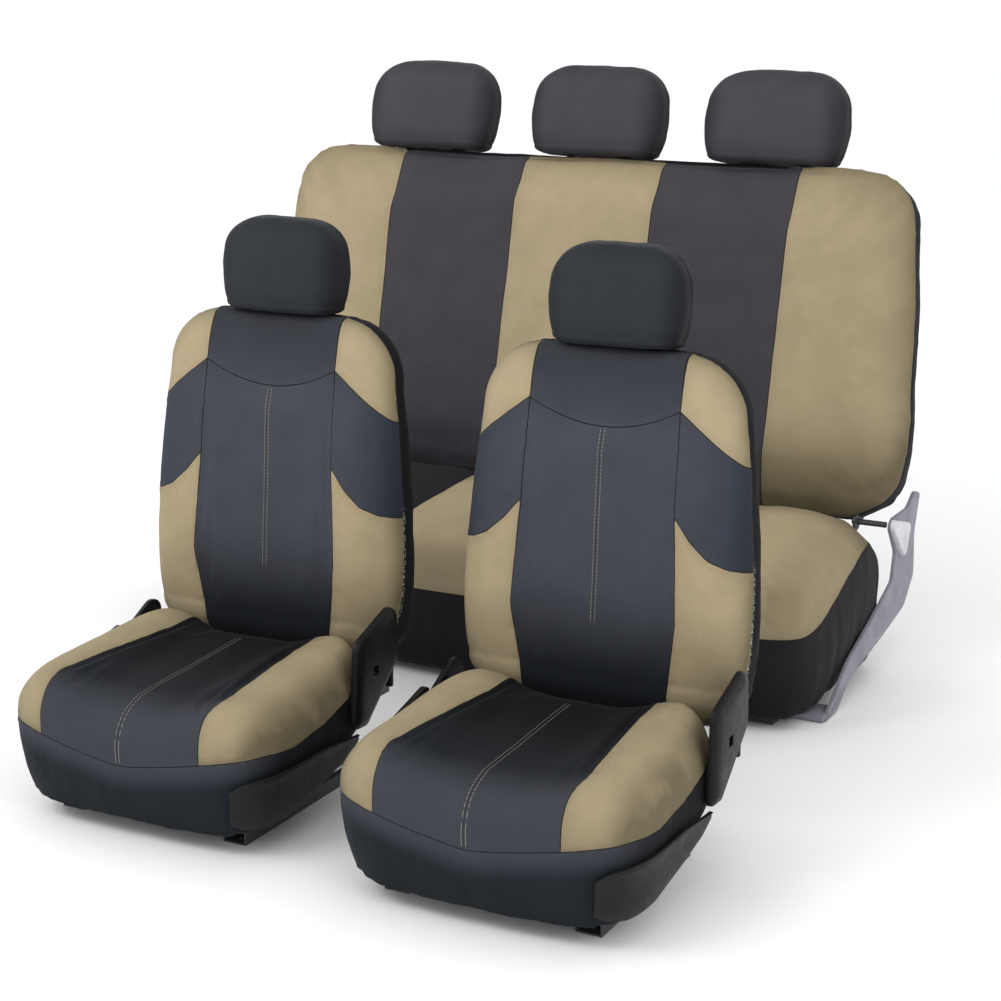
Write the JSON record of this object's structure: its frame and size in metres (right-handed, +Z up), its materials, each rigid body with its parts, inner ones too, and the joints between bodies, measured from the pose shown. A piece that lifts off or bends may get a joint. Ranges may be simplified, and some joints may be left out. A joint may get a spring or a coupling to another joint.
{
  "type": "seat cover set",
  "caption": "Fabric seat covers fitted on two sliding, reclining bucket seats with raising headrests and a tilting three-place rear bench.",
  "frame": {"origin": "middle of the set's footprint, on the floor", "axes": "+Z up, the seats face -Y, +X towards a viewer's right when looking at the seats' fronts"},
  "size_m": [1.6189, 1.7483, 1.1909],
  "materials": {
    "frame_steel": "satin black paint",
    "bright_steel": "satin",
    "seat_foam": "open-cell foam",
    "cushion_fabric": "smooth knit, black centre and valance with beige sides",
    "back_fabric": "smooth knit, charcoal centre with beige and black side panels",
    "headrest_fabric": "smooth black knit",
    "bench_cushion_fabric": "smooth knit, beige and black panels with a black valance",
    "bench_back_fabric": "smooth knit, beige and charcoal panels",
    "bench_headrest_fabric": "smooth charcoal knit",
    "dark_plastic": "grained",
    "guide_plastic": "satin",
    "grey_plastic": "grained",
    "pale_plastic": "satin"
  },
  "bodies": {
    "floor": {"right_outer_rail": "frame_steel", "right_inner_rail": "frame_steel", "left_outer_rail": "frame_steel", "left_inner_rail": "frame_steel", "bench_base_board": "frame_steel", "bench_cushion_foam": "seat_foam", "bench_cushion_cover": "bench_cushion_fabric", "bench_left_bracket": "grey_plastic", "bench_right_bracket": "grey_plastic", "bench_bracket_caps": "pale_plastic", "bench_pivot_pins": "bright_steel"},
    "right_seat": {"right_outer_runner": "bright_steel", "right_inner_runner": "bright_steel", "right_seat_pan": "frame_steel", "right_cushion_foam": "seat_foam", "right_cushion_cover": "cushion_fabric", "right_side_shield": "dark_plastic", "right_recliner_cover": "dark_plastic", "right_far_recliner_cover": "dark_plastic", "right_pivot_pins": "bright_steel"},
    "right_back": {"right_back_frame": "frame_steel", "right_back_foam": "seat_foam", "right_back_cover": "back_fabric", "right_post_guides": "guide_plastic"},
    "right_headrest": {"right_headrest_posts": "bright_steel", "right_headrest_foam": "seat_foam", "right_headrest_cover": "headrest_fabric"},
    "right_lever": {"right_recliner_lever": "dark_plastic"},
    "right_release_bar": {"right_slide_bar": "frame_steel"},
    "left_seat": {"left_outer_runner": "bright_steel", "left_inner_runner": "bright_steel", "left_seat_pan": "frame_steel", "left_cushion_foam": "seat_foam", "left_cushion_cover": "cushion_fabric", "left_side_shield": "dark_plastic", "left_recliner_cover": "dark_plastic", "left_far_recliner_cover": "dark_plastic", "left_pivot_pins": "bright_steel"},
    "left_back": {"left_back_frame": "frame_steel", "left_back_foam": "seat_foam", "left_back_cover": "back_fabric", "left_post_guides": "guide_plastic"},
    "left_headrest": {"left_headrest_posts": "bright_steel", "left_headrest_foam": "seat_foam", "left_headrest_cover": "headrest_fabric"},
    "left_lever": {"left_recliner_lever": "dark_plastic"},
    "left_release_bar": {"left_slide_bar": "frame_steel"},
    "bench_back": {"bench_back_frame": "frame_steel", "bench_back_foam": "seat_foam", "bench_back_cover": "bench_back_fabric", "bench_post_guides": "guide_plastic"},
    "bench_left_headrest": {"bench_left_posts": "bright_steel", "bench_left_headrest_foam": "seat_foam", "bench_left_headrest_cover": "bench_headrest_fabric"},
    "bench_middle_headrest": {"bench_middle_posts": "bright_steel", "bench_middle_headrest_foam": "seat_foam", "bench_middle_headrest_cover": "bench_headrest_fabric"},
    "bench_right_headrest": {"bench_right_posts": "bright_steel", "bench_right_headrest_foam": "seat_foam", "bench_right_headrest_cover": "bench_headrest_fabric"}
  },
  "joints": [
    {"name": "right_seat_slide", "type": "slide", "parent": "floor", "child": "right_seat", "axis": [0, 1, 0], "range_m": [-0.09, 0.09]},
    {"name": "right_back_recline", "type": "hinge", "parent": "right_seat", "child": "right_back", "pos_m": [0.535, -0.399, 0.228], "axis": [-1, 0, 0], "range_deg": [-20, 35]},
    {"name": "right_headrest_slide", "type": "slide", "parent": "right_back", "child": "right_headrest", "axis": [0, 0.0785, 0.9969], "range_m": [0, 0.06]},
    {"name": "right_lever_lift", "type": "hinge", "parent": "right_seat", "child": "right_lever", "pos_m": [0.255, -0.494, 0.22], "axis": [-1, 0, 0], "range_deg": [0, 30], "stiffness_Nm_per_rad": 1, "springref_deg": -14.32},
    {"name": "right_release_bar_lift", "type": "hinge", "parent": "right_seat", "child": "right_release_bar", "pos_m": [0.535, -0.674, 0.052], "axis": [-1, 0, 0], "range_deg": [0, 6], "stiffness_Nm_per_rad": 8, "springref_deg": -6.88},
    {"name": "left_seat_slide", "type": "slide", "parent": "floor", "child": "left_seat", "axis": [0, 1, 0], "range_m": [-0.09, 0.09]},
    {"name": "left_back_recline", "type": "hinge", "parent": "left_seat", "child": "left_back", "pos_m": [-0.127, -0.363, 0.228], "axis": [-1, 0, 0], "range_deg": [-20, 35]},
    {"name": "left_headrest_slide", "type": "slide", "parent": "left_back", "child": "left_headrest", "axis": [0, 0.0785, 0.9969], "range_m": [0, 0.06]},
    {"name": "left_lever_lift", "type": "hinge", "parent": "left_seat", "child": "left_lever", "pos_m": [-0.407, -0.458, 0.22], "axis": [-1, 0, 0], "range_deg": [0, 30], "stiffness_Nm_per_rad": 1, "springref_deg": -14.32},
    {"name": "left_release_bar_lift", "type": "hinge", "parent": "left_seat", "child": "left_release_bar", "pos_m": [-0.127, -0.638, 0.052], "axis": [-1, 0, 0], "range_deg": [0, 6], "stiffness_Nm_per_rad": 8, "springref_deg": -6.88},
    {"name": "bench_back_tilt", "type": "hinge", "parent": "floor", "child": "bench_back", "pos_m": [-0.041, 0.619, 0.3], "axis": [1, 0, 0], "range_deg": [0, 30]},
    {"name": "bench_left_headrest_slide", "type": "slide", "parent": "bench_back", "child": "bench_left_headrest", "axis": [0, 0.2215, 0.9751], "range_m": [0, 0.06]},
    {"name": "bench_middle_headrest_slide", "type": "slide", "parent": "bench_back", "child": "bench_middle_headrest", "axis": [0, 0.2215, 0.9751], "range_m": [0, 0.06]},
    {"name": "bench_right_headrest_slide", "type": "slide", "parent": "bench_back", "child": "bench_right_headrest", "axis": [0, 0.2215, 0.9751], "range_m": [0, 0.06]}
  ]
}
